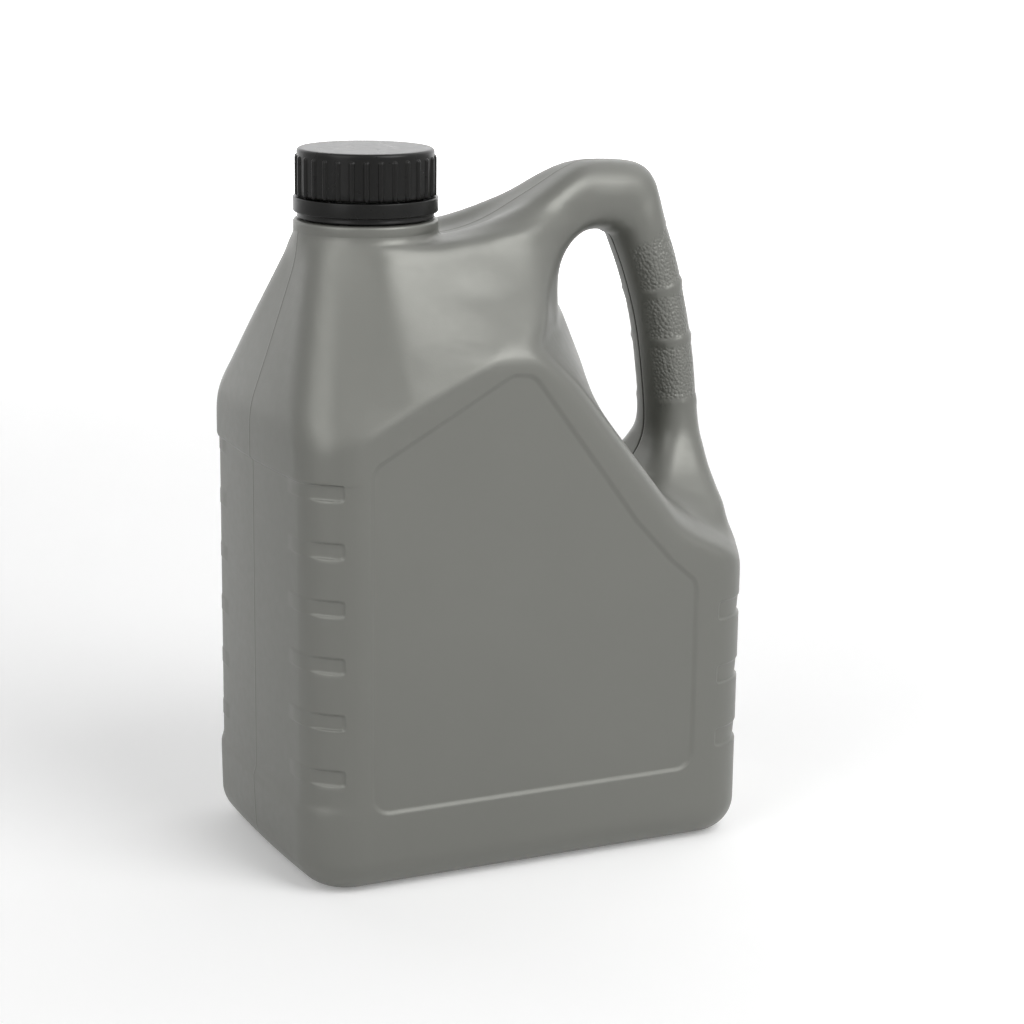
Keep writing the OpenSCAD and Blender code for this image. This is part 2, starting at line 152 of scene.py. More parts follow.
def body_field(x, y, z):
    """Level of the body at points, negative inside; arrays of one length."""
    out = np.empty(len(x))
    ux, ay = unbow(x, y, z), np.abs(y)
    for a in range(0, len(x), 60000):
        s = slice(a, a + 60000)
        t = np.clip((z[s] - LEVELS[0]) / STEP_Z, 0, len(LEVELS) - 1.001)
        i = t.astype(int)
        t = (t - i)[:, None]
        h = REACHES[i] * (1 - t) + REACHES[i + 1] * t
        level = ux[s, None] * COS + ay[s, None] * SIN - h
        k = level.argmax(1)
        lean = LEANS[i, k] * (1 - t[:, 0]) + LEANS[i + 1, k] * t[:, 0]
        out[s] = level[np.arange(len(k)), k] / np.sqrt(1 + lean ** 2)
    return out + base_inset(z)


# Rings of the handle from its root over the grip to the ridge: inner x and z, outer x and z, half width.
OUTER_X = HALF_L + REACH
INNER_X = OUTER_X - DEEP
STATIONS = np.array([
    [56, REAR + 12, OUTER_X - 5, REAR + 12, WIDE + 31],
    [62, REAR + 24, OUTER_X - 1.6, REAR + 24, WIDE + 25],
    [66, REAR + 32, OUTER_X - 1.2, REAR + 32, WIDE + 17],
    [73, REAR + 40, OUTER_X - 0.9, REAR + 40, WIDE + 9],
    [78.6, REAR + 48.5, OUTER_X - 0.8, REAR + 48.5, WIDE + 3.6],
    [INNER_X - 0.9, REAR + 60, OUTER_X - 0.9, REAR + 60, WIDE + 0.1],
    [INNER_X - 3.4, TOP - 89, OUTER_X - 3.6, TOP - 87.5, WIDE],
    [INNER_X - 6.9, TOP - 69, OUTER_X - 7.9, TOP - 64.5, WIDE],
    [INNER_X - 12.2, TOP - 51, OUTER_X - 13.2, TOP - 43, WIDE],
    [INNER_X - 17.2, TOP - 38.2, OUTER_X - 19.6, TOP - 25, WIDE],
    [INNER_X - 19.8, TOP - 33, OUTER_X - 22.8, TOP - 14, WIDE - 0.3],
    [INNER_X - 22.8, TOP - 31.3, OUTER_X - 25.2, TOP - 7.2, WIDE - 1],
    [INNER_X - 25.4, TOP - 30, OUTER_X - 30.6, TOP - 2.2, WIDE - 1],
    [INNER_X - 29.8, TOP - 29.5, OUTER_X - 42, TOP - 0.1, WIDE - 0.5],
    [44.5, TOP - 30.6, 47, TOP, WIDE],
    [36, TOP - 34.8, 37, TOP - 3.4, WIDE + 1.5],
    [28.5, TOP - 43, 24, TOP - 10.6, WIDE + 4.5],
    [24.5, TOP - 55, 8, TOP - 19.2, WIDE + 7.5],
    [20, TOP - 66, -10, TOP - 28.8, WIDE + 10],
    [10, TOP - 76, -24, TOP - 36, WIDE + 13],
    [-2, TOP - 88, -40, TOP - 48, WIDE + 13]])


def station(s):
    """Ring at a place between stations, on a smooth curve through them."""
    s = np.asarray(s, float)
    n = len(STATIONS)
    i = np.clip(np.floor(s).astype(int), 0, n - 2)
    f = (s - i)[..., None]
    a, b = STATIONS[np.maximum(i - 1, 0)], STATIONS[i]
    c, e = STATIONS[i + 1], STATIONS[np.minimum(i + 2, n - 1)]
    return b + 0.5 * f * (c - a + f * (2 * a - 5 * b + 4 * c - e + f * (3 * (b - c) + e - a)))


PATH_S = np.linspace(0, len(STATIONS) - 1, 541)
PATH = station(PATH_S)
PATH_MID = (PATH[:, 0:2] + PATH[:, 2:4]) / 2
PATH_WAY = PATH[:, 2:4] - PATH[:, 0:2]
PATH_HALF = np.linalg.norm(PATH_WAY, axis=1) / 2
PATH_WAY = PATH_WAY / (2 * PATH_HALF[:, None])
PATH_ON = np.stack([-PATH_WAY[:, 1], PATH_WAY[:, 0]], 1)


def handle_place(x, z):
    """Handle coordinates at points of the middle plane: station, offset along its ring, half depth and width,
    and the slopes of offset and station over x and z."""
    n = len(x)
    out = np.zeros((n, 8))
    out[:, 0], out[:, 1] = -1.0, 1e3
    near = np.nonzero((x > -60) & (z > REAR - 20))[0]
    for a in range(0, len(near), 20000):
        sel = near[a:a + 20000]
        dx, dz = x[sel, None] - PATH_MID[None, :, 0], z[sel, None] - PATH_MID[None, :, 1]
        on = dx * PATH_ON[None, :, 0] + dz * PATH_ON[None, :, 1]
        off = dx * PATH_WAY[None, :, 0] + dz * PATH_WAY[None, :, 1]
        hit = (on[:, :-1] >= 0) & (on[:, 1:] < 0)
        score = np.where(hit, np.abs(off[:, :-1]), 1e6)
        k = score.argmin(1)
        row = np.arange(len(k))
        good = score[row, k] < 60
        k, row, sel = k[good], row[good], sel[good]
        d0, d1 = on[row, k], on[row, k + 1]
        rate = (PATH_S[1] - PATH_S[0]) / np.maximum(d0 - d1, 1e-6)
        t = d0 / np.maximum(d0 - d1, 1e-9)
        out[sel, 0] = PATH_S[k] + t * (PATH_S[1] - PATH_S[0])
        out[sel, 1] = off[row, k] * (1 - t) + off[row, k + 1] * t
        out[sel, 4:6] = PATH_WAY[k]
        out[sel, 6:8] = PATH_ON[k] * rate[:, None]
    out[:, 2] = np.interp(out[:, 0], PATH_S, PATH_HALF)
    out[:, 3] = np.interp(out[:, 0], PATH_S, PATH[:, 4])
    return out


def place_moved(place, dx, dz):
    """Handle coordinates after a small step, by their slopes."""
    moved = place.copy()
    known = place[:, 0] >= 0
    moved[:, 1] += known * (place[:, 4] * dx + place[:, 5] * dz)
    moved[:, 0] += known * (place[:, 6] * dx + place[:, 7] * dz)
    moved[:, 2] = np.interp(moved[:, 0], PATH_S, PATH_HALF)
    moved[:, 3] = np.interp(moved[:, 0], PATH_S, PATH[:, 4])
    return moved


# Grip patches, mould line and oval section of the handle, in stations; the patches leave its inner side free.
GRIPS = [(5.39, 6.36), (6.51, 7.44), (7.62, 8.93)]
SEAM_FROM, SEAM_TO = 2.5, 14.6
GRIP_EDGE, GRIP_FULL, GRIP_FADE = -10.8, -9.4, 0.035
RING_BELOW, RING_WIDE = 0.05, 0.045
OVAL_SHARE, OVAL_FROM, OVAL_TO = 0.75, (3.6, 5.4), (13.0, 15.5)


def grip_share(s, u):
    """One inside the three grip patches, which wrap the outer side of the handle."""
    out = np.zeros_like(s)
    for a, b in GRIPS:
        out = np.maximum(out, smooth(a, a + GRIP_FADE, s) * (1 - smooth(b - GRIP_FADE, b, s)))
    return out * smooth(GRIP_EDGE, GRIP_FULL, u)


def rounded(a, b, r):
    """Level of a rounded corner, from the levels past the middle of its arc along two ways."""
    return np.hypot(np.maximum(a, 0), np.maximum(b, 0)) + np.minimum(np.maximum(a, b), 0) - r


def handle_field(place, y):
    """Level of the handle: a rounded box at its root and nearly an oval along the grip."""
    s, u, half, wide = place[:, :4].T
    d = rounded(np.abs(u) - (half - EDGE), np.abs(y) - (wide - EDGE), EDGE)
    reach, bend = np.hypot(u / half, y / wide), np.hypot(u / half ** 2, y / wide ** 2)
    oval = np.maximum(reach, 1e-3) * (reach - 1) / np.maximum(bend, 1e-6)
    d = d + OVAL_SHARE * smooth(*OVAL_FROM, s) * (1 - smooth(*OVAL_TO, s)) * (oval - d)
    ring = sum(np.exp(-((s - a + RING_BELOW) / RING_WIDE) ** 2) for a, _ in GRIPS)
    ring = ring * smooth(GRIP_EDGE, GRIP_FULL, u)
    return np.where(s < 0, 1e3, d + GRIP_D * grip_share(s, u) - RING_RISE * ring)


def collar_field(x, y, z):
    """Level of the round collar under the neck."""
    out = np.hypot(x - NECK_X, y) - (COLLAR_R - COLLAR_ROUND)
    return rounded(out, z - (COLLAR_Z - COLLAR_ROUND), COLLAR_ROUND)


def soft_min(a, b, k):
    """The lower of two levels, with the crease between them filled over a width."""
    h = np.clip(0.5 + 0.5 * (b - a) / k, 0.0, 1.0)
    return b + (a - b) * h - k * h * (1.0 - h)


# Outline of the bare label panel in X and Z, given by its corners shrunk by their rounding.
PANEL = np.array([[-77.6, 33.5], [74.0, 33.5], [74.0, 118.6], [60.5, 130.4], [44.0, 148.6], [-4.5, 213.8],
                  [-15.0, 215.2], [-77.6, 180.6]])
PANEL_ROUND = 9.0


def shrunk(p, d):
    """Corners of an outline set in by a distance."""
    out = []
    for i in range(len(p)):
        a, b, c = p[i - 1], p[i], p[(i + 1) % len(p)]
        e, f = (b - a) / np.linalg.norm(b - a), (c - b) / np.linalg.norm(c - b)
        n, m = np.array([-e[1], e[0]]), np.array([-f[1], f[0]])
        out.append(b + d * (n + m) / (1 + n @ m))
    return np.array(out)


PANEL_CORE = shrunk(PANEL, PANEL_ROUND)


def panel_level(x, z):
    """Distance to the panel's rounded outline, negative inside."""
    best, odd = np.full(len(x), 1e9), np.zeros(len(x), bool)
    for i in range(len(PANEL_CORE)):
        a, b = PANEL_CORE[i - 1], PANEL_CORE[i]
        e = b - a
        t = np.clip(((x - a[0]) * e[0] + (z - a[1]) * e[1]) / (e @ e), 0, 1)
        best = np.minimum(best, np.hypot(x - a[0] - t * e[0], z - a[1] - t * e[1]))
        cross = (a[1] > z) != (b[1] > z)
        with np.errstate(divide="ignore", invalid="ignore"):
            odd ^= cross & (x < e[0] * (z - a[1]) / e[1] + a[0])
    return np.where(odd, -best, best) - PANEL_ROUND


# Corner grooves: heights, lengths along the corner from its pouring or rear side, and end rounding.
FRONT_H, REAR_H, GROOVE_ROUND, GROOVE_WALL = 7.2, 8.8, 1.8, 0.8
FRONT_END, REAR_END = math.radians(62.6) * CORNER, math.radians(84.0) * CORNER
FRONT_GROOVES = [UPPER_BELT - 3.7 - 23.9 * i for i in range(6)]
REAR_GROOVES = [LOWER_BELT + 9.8 + 28.5 * i for i in range(3)]
GROOVE_FROM, TONGUE_FROM, TONGUE_TO = (5.0, 13.0), (-7.0, -4.5), (3.0, 6.5)


def slot_share(run, rise, end, height):
    """Share of the full depth in a slot with a rounded end, from its level in run and rise."""
    past, over = run - (end - GROOVE_ROUND), np.abs(rise) - (height / 2 - GROOVE_ROUND)
    return 1 - smooth(-GROOVE_WALL, 0.05, rounded(past, over, GROOVE_ROUND))


def groove_depth(x, y, z):
    """Depth of the corner grooves; a front one runs out on the pouring side as a low raised tongue."""
    out = np.zeros(len(x))
    ay = np.abs(y)
    front_x = POUR_CORNER + BELT_DEPTH
    near_front = (x < front_x) & (z > LOWER_BELT) & (z < UPPER_BELT + 4) & (ay > CORNER_Y - 10)
    near_rear = (x > CORNER_X) & (z > LOWER_BELT) & (z < REAR) & (ay > CORNER_Y - 6)
    for h in FRONT_GROOVES:
        m = np.nonzero(near_front & (np.abs(z - h) < FRONT_H))[0]
        past = ay[m] - CORNER_Y
        run = np.where(past > 0, np.arctan2(past, front_x - x[m]) * CORNER, past)
        tongue = TONGUE_RISE * smooth(*TONGUE_FROM, run) * (1 - smooth(*TONGUE_TO, run))
        depth = GROOVE_D * smooth(*GROOVE_FROM, run) - tongue
        out[m] += depth * slot_share(run, z[m] - h, FRONT_END, FRONT_H)
    for h in REAR_GROOVES:
        m = np.nonzero(near_rear & (np.abs(z - h) < REAR_H))[0]
        run = np.arctan2(ay[m] - CORNER_Y, x[m] - CORNER_X) * CORNER
        lean = 0.55 + 0.45 * smooth(REAR_H / 2, -REAR_H / 2, z[m] - h)
        out[m] += GROOVE_D * lean * smooth(-2.0, 4.0, run) * slot_share(run, z[m] - h, REAR_END, REAR_H)
    return out


# Widths of the blends between body, handle and collar, and where the handle's root and the ridge reach.
REAR_LIMIT = HALF_L + 1.9
BLEND, ROOT_BLEND, RIDGE_BLEND, COLLAR_BLEND, REAR_BLEND = 9.0, -1.5, 9.0, 3.0, 2.0
ROOT_TOP, ROOT_FRONT = (180, 200), (40, 60)
RIDGE_LOW, RIDGE_BACK, RIDGE_SIDE = (215, 250), (12, 36), (4, 16)


def outer_field(x, y, z, place, fine=True):
    """Level of the whole outer form, negative inside, with or without grooves, panels and mould line."""
    d = body_field(x, y, z)
    d = np.maximum(d, z - (WEB + 1.0))
    root = (1 - smooth(*ROOT_TOP, z)) * smooth(*ROOT_FRONT, x)
    ridge = smooth(*RIDGE_LOW, z) * (1 - smooth(*RIDGE_BACK, x)) * smooth(*RIDGE_SIDE, np.abs(y))
    d = soft_min(d, handle_field(place, y), BLEND + ROOT_BLEND * root + RIDGE_BLEND * ridge)
    d = -soft_min(-d, REAR_LIMIT - x, REAR_BLEND)
    d = soft_min(d, collar_field(x, y, z), COLLAR_BLEND)
    if fine:
        d = d + groove_depth(x, y, z)
        on_face = (np.abs(y) > HALF_W - 6) & (z < PEAK) & (z > 20)
        p = np.zeros(len(x))
        p[on_face] = PANEL_DEPTH * (1 - smooth(-PANEL_STEP, 0.0, panel_level(x[on_face], z[on_face])))
        d = d + p + parting(place, y, z)
    return np.maximum(d, foot(x, y, z) - z)


SEAM_RISE, SEAM_CUT, SEAM_WIDE = 0.14, 0.5, 0.3


def parting(place, y, z):
    """Mould line in the middle plane: a fine ridge, and a fine cut along the inner side of the handle."""
    line = np.exp(-(y / SEAM_WIDE) ** 2)
    s, u = place[:, 0], place[:, 1]
    inner = smooth(SEAM_FROM, SEAM_FROM + 0.5, s) * (1 - smooth(SEAM_TO - 0.6, SEAM_TO, s)) * (u < 0)
    return line * (SEAM_CUT * inner - SEAM_RISE * (1 - inner) * smooth(8, 14, z))


FOOT_RISE, FOOT_INSET = 2.0, 19.0


def foot(x, y, z):
    """Height of the underside: a shallow push-up within a flat foot ring."""
    out = np.zeros(len(x))
    low = z < FOOT_RISE + 2
    if low.any():
        level = body_field(x[low], y[low], np.full(low.sum(), BASE_R + 2.0)) + FOOT_INSET
        out[low] = FOOT_RISE * (1 - smooth(-6.0, 0.0, level))
    return out


def grid_lines(marks):
    """Lines from (start, spacing) marks; the last mark only ends the run."""
    out = []
    for (a, step), (b, _) in zip(marks[:-1], marks[1:]):
        n = max(1, int(round((b - a) / step)))
        out.extend(a + (b - a) * i / n for i in range(n))
    out.append(marks[-1][0])
    return np.array(out)


def surface(xs, ys, zs, values):
    """Quads of the level surface on a grid of uneven lines: one vertex in each crossed cell."""
    inside = values < 0
    nx, ny, nz = values.shape
    total = np.zeros((nx - 1, ny - 1, nz - 1, 3))
    count = np.zeros((nx - 1, ny - 1, nz - 1))
    lines = (xs, ys, zs)
    crossings = []
    for axis in range(3):
        lo = [slice(None)] * 3
        hi = [slice(None)] * 3
        lo[axis], hi[axis] = slice(None, -1), slice(1, None)
        cross = inside[tuple(lo)] != inside[tuple(hi)]
        idx = np.argwhere(cross)
        a = values[tuple(lo)][cross]
        b = values[tuple(hi)][cross]
        t = a / (a - b)
        p = np.stack([lines[k][idx[:, k]] for k in range(3)], 1)
        step = lines[axis][idx[:, axis] + 1] - lines[axis][idx[:, axis]]
        p[:, axis] += t * step
        others = [k for k in range(3) if k != axis]
        for da in (0, -1):
            for db in (0, -1):
                cell = idx.copy()
                cell[:, others[0]] += da
                cell[:, others[1]] += db
                ok = np.all((cell >= 0) & (cell < [nx - 1, ny - 1, nz - 1]), 1)
                c = cell[ok]
                np.add.at(total, (c[:, 0], c[:, 1], c[:, 2]), p[ok])
                np.add.at(count, (c[:, 0], c[:, 1], c[:, 2]), 1)
        crossings.append((idx, inside[tuple(lo)][cross]))
    used = count > 0
    number = np.full(used.shape, -1)
    number[used] = np.arange(used.sum())
    points = total[used] / count[used][:, None]
    faces = []
    for axis in range(3):
        idx, first = crossings[axis]
        o = [(axis + 1) % 3, (axis + 2) % 3]
        ring = []
        ok = np.ones(len(idx), bool)
        for da, db in ((-1, -1), (0, -1), (0, 0), (-1, 0)):
            cell = idx.copy()
            cell[:, o[0]] += da
            cell[:, o[1]] += db
            good = np.all((cell >= 0) & (cell < [nx - 1, ny - 1, nz - 1]), 1)
            ok &= good
            cell = np.clip(cell, 0, [nx - 2, ny - 2, nz - 2])
            ring.append(number[cell[:, 0], cell[:, 1], cell[:, 2]])
        quad = np.stack(ring, 1)
        quad[~first] = quad[~first][:, ::-1]
        faces.append(quad[ok])
    return points, np.concatenate(faces)


def moved_level(points, place, step):
    """Level after a small step from points whose place on the handle is known."""
    x, y, z = (points + step).T
    return outer_field(x, y, z, place_moved(place, step[0], step[2]))


def settled(points, rounds):
    """Moves points on to the outer surface along its slope."""
    p = points.copy()
    e = 0.05
    for _ in range(rounds):
        x, y, z = p.T
        place = handle_place(x, z)
        d = outer_field(x, y, z, place)
        slope = [moved_level(p, place, way) - moved_level(p, place, -way) for way in e * np.eye(3)]
        slope = np.stack(slope, 1) / (2 * e)
        move = slope * (d / np.maximum((slope * slope).sum(1), 0.05))[:, None]
        size = np.linalg.norm(move, axis=1, keepdims=True)
        p -= move * np.minimum(1.0, 0.8 / np.maximum(size, 1e-9))
    return p


def make_mesh(name, points, faces, material):
    """A smooth shaded object from points in millimetres."""
    mesh = bpy.data.meshes.new(name)
    mesh.from_pydata((np.asarray(points) * 0.001).tolist(), [], [list(map(int, f)) for f in faces])
    mesh.validate()
    mesh.polygons.foreach_set("use_smooth", [True] * len(mesh.polygons))
    mesh.materials.append(material)
    obj = bpy.data.objects.new(name, mesh)
    bpy.context.scene.collection.objects.link(obj)
    return obj


def link(tree, a, out, b, into):
    """Joins an output of one shader node to an input of another."""
    tree.links.new(a.outputs[out], b.inputs[into])


def noise(tree, where, size, detail):
    """Noise over the object's own metres, with a grain of the given size."""
    node = tree.nodes.new("ShaderNodeTexNoise")
    node.inputs["Scale"].default_value = 1.0 / size
    node.inputs["Detail"].default_value = detail
    link(tree, where, "Object", node, "Vector")
    return node


def ranged(tree, node, out, low, high):
    """A value between zero and one spread over a range."""
    span = tree.nodes.new("ShaderNodeMapRange")
    span.inputs["To Min"].default_value = low
    span.inputs["To Max"].default_value = high
    link(tree, node, out, span, "Value")
    return span


def tinted(tree, color, shade):
    """A colour multiplied by a grey value."""
    mix = tree.nodes.new("ShaderNodeMix")
    mix.data_type, mix.blend_type = "RGBA", "MULTIPLY"
    mix.inputs["Factor"].default_value = 1.0
    mix.inputs["A"].default_value = (*color, 1.0)
    tree.links.new(shade, mix.inputs["B"])
    return mix


CLOUD_SIZE, GLOSS_SIZE, GLOSS_SPREAD, GRAIN_RISE = 0.06, 0.004, 0.04, 0.0002


def plastic(name, color, rough, grain, grain_size, spread=0.05, metallic=0.0):
    """Moulded plastic: cloudy colour and gloss and a fine grain."""
    m = bpy.data.materials.new(name)
    m.use_nodes = True
    tree = m.node_tree
    shader = tree.nodes["Principled BSDF"]
    where = tree.nodes.new("ShaderNodeTexCoord")
    cloud = noise(tree, where, CLOUD_SIZE, 2.0)
    shade = ranged(tree, cloud, "Fac", 1.0 - spread, 1.0 + spread)
    tint = tinted(tree, color, shade.outputs["Result"])
    link(tree, tint, "Result", shader, "Base Color")
    patchy = noise(tree, where, GLOSS_SIZE, 1.0)
    gloss = ranged(tree, patchy, "Fac", rough - GLOSS_SPREAD, rough + GLOSS_SPREAD)
    link(tree, gloss, "Result", shader, "Roughness")
    shader.inputs["Metallic"].default_value = metallic
    bump = tree.nodes.new("ShaderNodeBump")
    bump.name = "grain"
    bump.inputs["Strength"].default_value = grain
    bump.inputs["Distance"].default_value = GRAIN_RISE
    link(tree, noise(tree, where, grain_size, 1.0), "Fac", bump, "Height")
    link(tree, bump, "Normal", shader, "Normal")
    return m


LEATHER_CELL, LEATHER_RISE = 0.0014, 0.0005


def pewter():
    """Jug plastic with leather grain on the grip patches, and painted shade in near black along the mould
    line's cut inside the handle.
    """
    m = plastic("jug_plastic", JUG_COLOR, 0.40, 0.10, 0.0008, spread=0.035, metallic=JUG_METAL)
    tree = m.node_tree
    shader, grain = tree.nodes["Principled BSDF"], tree.nodes["grain"]
    where = tree.nodes["Texture Coordinate"]
    marks = {}
    for name in ("grip", "seam_shade"):
        marks[name] = tree.nodes.new("ShaderNodeAttribute")
        marks[name].attribute_name = name
    cells = tree.nodes.new("ShaderNodeTexVoronoi")
    cells.inputs["Scale"].default_value = 1.0 / LEATHER_CELL
    link(tree, where, "Object", cells, "Vector")
    hide = ranged(tree, cells, "Distance", 1.0, 0.0)
    leather = tree.nodes.new("ShaderNodeBump")
    leather.inputs["Distance"].default_value = LEATHER_RISE
    link(tree, hide, "Result", leather, "Height")
    link(tree, ranged(tree, marks["grip"], "Fac", 0.0, 1.0), "Result", leather, "Strength")
    link(tree, grain, "Normal", leather, "Normal")
    link(tree, leather, "Normal", shader, "Normal")
    # Painted shade: the base colour turns near black along the mould line's cut inside the handle.
    base = shader.inputs["Base Color"].links[0].from_node
    seam_shade_mix = tree.nodes.new("ShaderNodeMix")
    seam_shade_mix.data_type = "RGBA"
    seam_shade_mix.inputs["B"].default_value = (0.01, 0.01, 0.01, 1.0)
    link(tree, base, "Result", seam_shade_mix, "A")
    link(tree, marks["seam_shade"], "Fac", seam_shade_mix, "Factor")
    link(tree, seam_shade_mix, "Result", shader, "Base Color")
    return m


JUG_COLOR, JUG_METAL = (0.159, 0.161, 0.146), 0.38
CAP_SHEEN = 0.2
PEWTER = pewter()
BLACK = plastic("cap_plastic", (0.006, 0.006, 0.0055), 0.29, 0.06, 0.0006)
BLACK.node_tree.nodes["Principled BSDF"].inputs["Specular IOR Level"].default_value = CAP_SHEEN
FOAM = plastic("liner_foam", (0.70, 0.70, 0.66), 0.8, 0.4, 0.0008)


def with_fine(lines, places, gap, count=2):
    """Adds lines close to given places and drops the coarse lines beside them."""
    fine = np.unique(np.round([p + gap * i for p in places for i in range(-count, count + 1)], 3))
    reach = gap * 0.7
    kept = [v for v in lines if np.abs(fine - v).min() > reach]
    return np.sort(np.concatenate([kept, fine]))


def skin_lines():
    """Lines of the grid, closer where the form turns and at the edges of grooves, belts and mould line."""
    ends = [POUR_CORNER + BELT_DEPTH - CORNER * math.cos(FRONT_END / CORNER) + 0.4,
            CORNER_X + CORNER * math.cos(REAR_END / CORNER) + 0.4]
    along = grid_lines([(-107, 1.5), (-74, 2.6), (0, 2.3), (40, 1.9), (72, 1.5), (107, 1)])
    across = grid_lines([(2.0, 1.8), (22, 2.4), (44, 1.6), (68, 1)])
    half = np.concatenate([[0, 0.17, 0.36, 0.62, 1.1], across])
    edges = [h + side * (FRONT_H - GROOVE_WALL) / 2 for h in FRONT_GROOVES for side in (-1, 1)]
    edges += [h + side * (REAR_H - GROOVE_WALL) / 2 for h in REAR_GROOVES for side in (-1, 1)]
    edges += [LOWER_BELT + 0.7, UPPER_BELT - 0.7]
    up = grid_lines([(-1.2, 1.3), (18, 3.2), (150, 2.2), (196, 1.25), (250, 1.7), (294, 1)])
    return with_fine(along, ends, 0.5), half, with_fine(up, edges, 0.45)


EASE_PULLS, EASE_ROUNDS = (0.6, -0.607), 60


def eased(points, faces):
    """Evens out the shoulder between the broad faces, the collar and the grip, without shrinking it."""
    x, y, z = points.T
    share = smooth(SHOULDER + 6, SHOULDER + 16, z) * (1 - smooth(HALF_W - 15, HALF_W - 7, np.abs(y)))
    share *= 1 - smooth(44, 60, x)
    from_neck = smooth(COLLAR_R + 2, COLLAR_R + 6, np.hypot(x - NECK_X, y))
    share *= 1 - smooth(NECK_FOOT - 3, NECK_FOOT, z) * (1 - from_neck)
    share *= smooth(0.6, 2.0, np.abs(y))
    ends = np.concatenate([faces[:, [k, (k + 1) % 4]] for k in range(4)])
    count = np.bincount(ends[:, 0], minlength=len(points))[:, None]
    p = points.copy()
    for pull in EASE_PULLS * EASE_ROUNDS:
        total = np.stack([np.bincount(ends[:, 0], p[ends[:, 1], k], len(p)) for k in range(3)], 1)
        p += pull * share[:, None] * (total / np.maximum(count, 1) - p)
    return p


def grid_levels(xs, ys, zs, fine):
    """Levels of the outer form where three sets of lines cross."""
    gx, gz = (g.ravel() for g in np.meshgrid(xs, zs, indexing="ij"))
    place = handle_place(gx, gz)
    layers = [outer_field(gx, np.full(len(gx), y), gz, place, fine) for y in ys]
    return np.stack([layer.reshape(len(xs), len(zs)) for layer in layers], 1)


def outer_skin():
    """Outer skin of the jug, open at the top of the collar, where the neck begins."""
    xs, half, zs = skin_lines()
    ys = np.concatenate([-half[:0:-1], half])
    values = grid_levels(xs, half, zs, True)
    points, faces = surface(xs, ys, zs, np.concatenate([values[:, :0:-1], values], 1))
    points = settled(points, 4)
    points = eased(points, faces)
    points[:, 2] = np.maximum(points[:, 2], 0.0)
    collar_top = np.hypot(points[:, 0] - NECK_X, points[:, 1]) < COLLAR_R + 1.0
    collar_top &= points[:, 2] > NECK_FOOT + 2.2
    return points, faces[~collar_top[faces].all(1)]


def panel_ring(level):
    """Points of the panel's outline at a level, with even steps on the straights and arcs at the corners."""
    r, out, n = PANEL_ROUND + level, [], len(PANEL_CORE)
    for i in range(n):
        a, b, c = PANEL_CORE[i - 1], PANEL_CORE[i], PANEL_CORE[(i + 1) % n]
        e, f = (b - a) / np.linalg.norm(b - a), (c - b) / np.linalg.norm(c - b)
        start, turn = math.atan2(-e[0], e[1]), math.asin(max(-1.0, min(1.0, e[0] * f[1] - e[1] * f[0])))
        if turn > 0:
            steps = max(2, int(math.degrees(turn) / 7))
            angles = [start + turn * k / steps for k in range(steps + 1)]
            corner = [b + r * np.array([math.cos(t), math.sin(t)]) for t in angles]
        else:
            half = turn / 2
            corner = [b + r * np.array([math.cos(start + half), math.sin(start + half)]) / math.cos(half)]
        out.append(corner)
    ring = []
    for i in range(n):
        ring.extend(out[i])
        p, q = out[i][-1], out[(i + 1) % n][0]
        steps = max(1, int(np.linalg.norm(PANEL_CORE[(i + 1) % n] - PANEL_CORE[i]) / 5.0))
        ring.extend(p + (q - p) * k / steps for k in range(1, steps))
    return ring


RING_LEVELS = (0.5, 0.1, -0.25, -0.6, -1.0, -1.5, -2.0, -2.4, -2.75, -3.2)


def boundary_loop(faces):
    """Ordered rim of a patch of faces."""
    follow = {}
    edges = {(int(q[k]), int(q[(k + 1) % 4])) for q in faces for k in range(4)}
    for a, b in edges:
        if (b, a) not in edges:
            follow[a] = b
    start = next(iter(sorted(follow)))
    loop, at = [start], follow[start]
    while at != start:
        loop.append(at)
        at = follow[at]
    return loop


def with_panel(points, faces, side):
    """Replaces the flat of one broad face by a patch whose edges follow the panel's step."""
    flat = (side * points[:, 1] > HALF_W - PANEL_DEPTH - 0.25)
    flat &= panel_level(points[:, 0], points[:, 2]) < 3.2
    gone = flat[faces].all(1)
    loop = boundary_loop(faces[gone])
    plane = [Vector((points[i, 0], points[i, 2])) for i in loop]
    known = len(plane)
    wires = [(i, (i + 1) % known) for i in range(known)]
    for level in RING_LEVELS:
        base = len(plane)
        ring = panel_ring(level)
        plane += [Vector(p) for p in ring]
        wires += [(base + i, base + (i + 1) % len(ring)) for i in range(len(ring))]
    made, _, tris, ids, _, _ = delaunay_2d_cdt(plane, wires, [list(range(known))], 1, 1e-6)
    fresh = [k for k, source in enumerate(ids) if not source or source[0] >= known]
    number = {k: loop[source[0]] for k, source in enumerate(ids) if source and source[0] < known}
    x = np.array([made[k][0] for k in fresh])
    z = np.array([made[k][1] for k in fresh])
    y = np.full(len(x), side * HALF_W)
    place = handle_place(x, z)
    for _ in range(4):
        y = y - side * outer_field(x, y, z, place)
    base = len(points)
    number.update({k: base + n for n, k in enumerate(fresh)})
    patch = [tuple(number[k] for k in t)[::-side] for t in tris]
    return np.concatenate([points, np.stack([x, y, z], 1)]), [tuple(f) for f in faces[~gone]], patch



